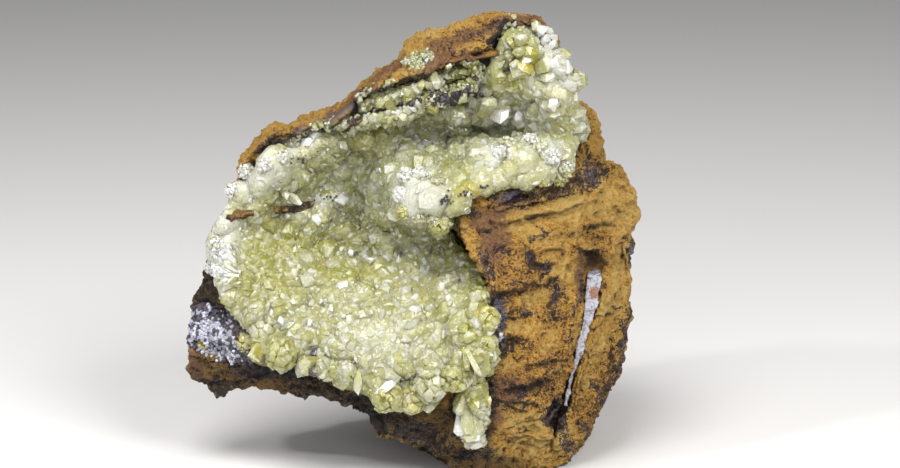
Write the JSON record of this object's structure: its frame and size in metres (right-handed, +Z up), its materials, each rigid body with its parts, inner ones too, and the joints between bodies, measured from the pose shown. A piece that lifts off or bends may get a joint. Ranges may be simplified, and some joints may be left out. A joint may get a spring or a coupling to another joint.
{
  "type": "adamite crystal specimen",
  "caption": "Loose hand specimen of brown limonite with a broken-open hollow lined by a crust of pale yellow-green adamite crystals.",
  "frame": {"origin": "on the surface the stone rests on, under the middle of its bounding box", "axes": "+Z up, +X to the right and +Y backwards for someone facing the crystal-lined hollow, which looks along -Y"},
  "size_m": [0.0684, 0.0456, 0.0685],
  "materials": {
    "limonite": "matte",
    "adamite": "gloss",
    "pale_druse": "satin",
    "vein_filling": "satin"
  },
  "bodies": {
    "root": {"limonite_matrix": "limonite", "adamite_crust": "adamite", "niche_crust": "adamite", "foot_crust": "adamite", "corner_crust": "pale_druse", "seam_vein": "vein_filling"}
  },
  "joints": []
}
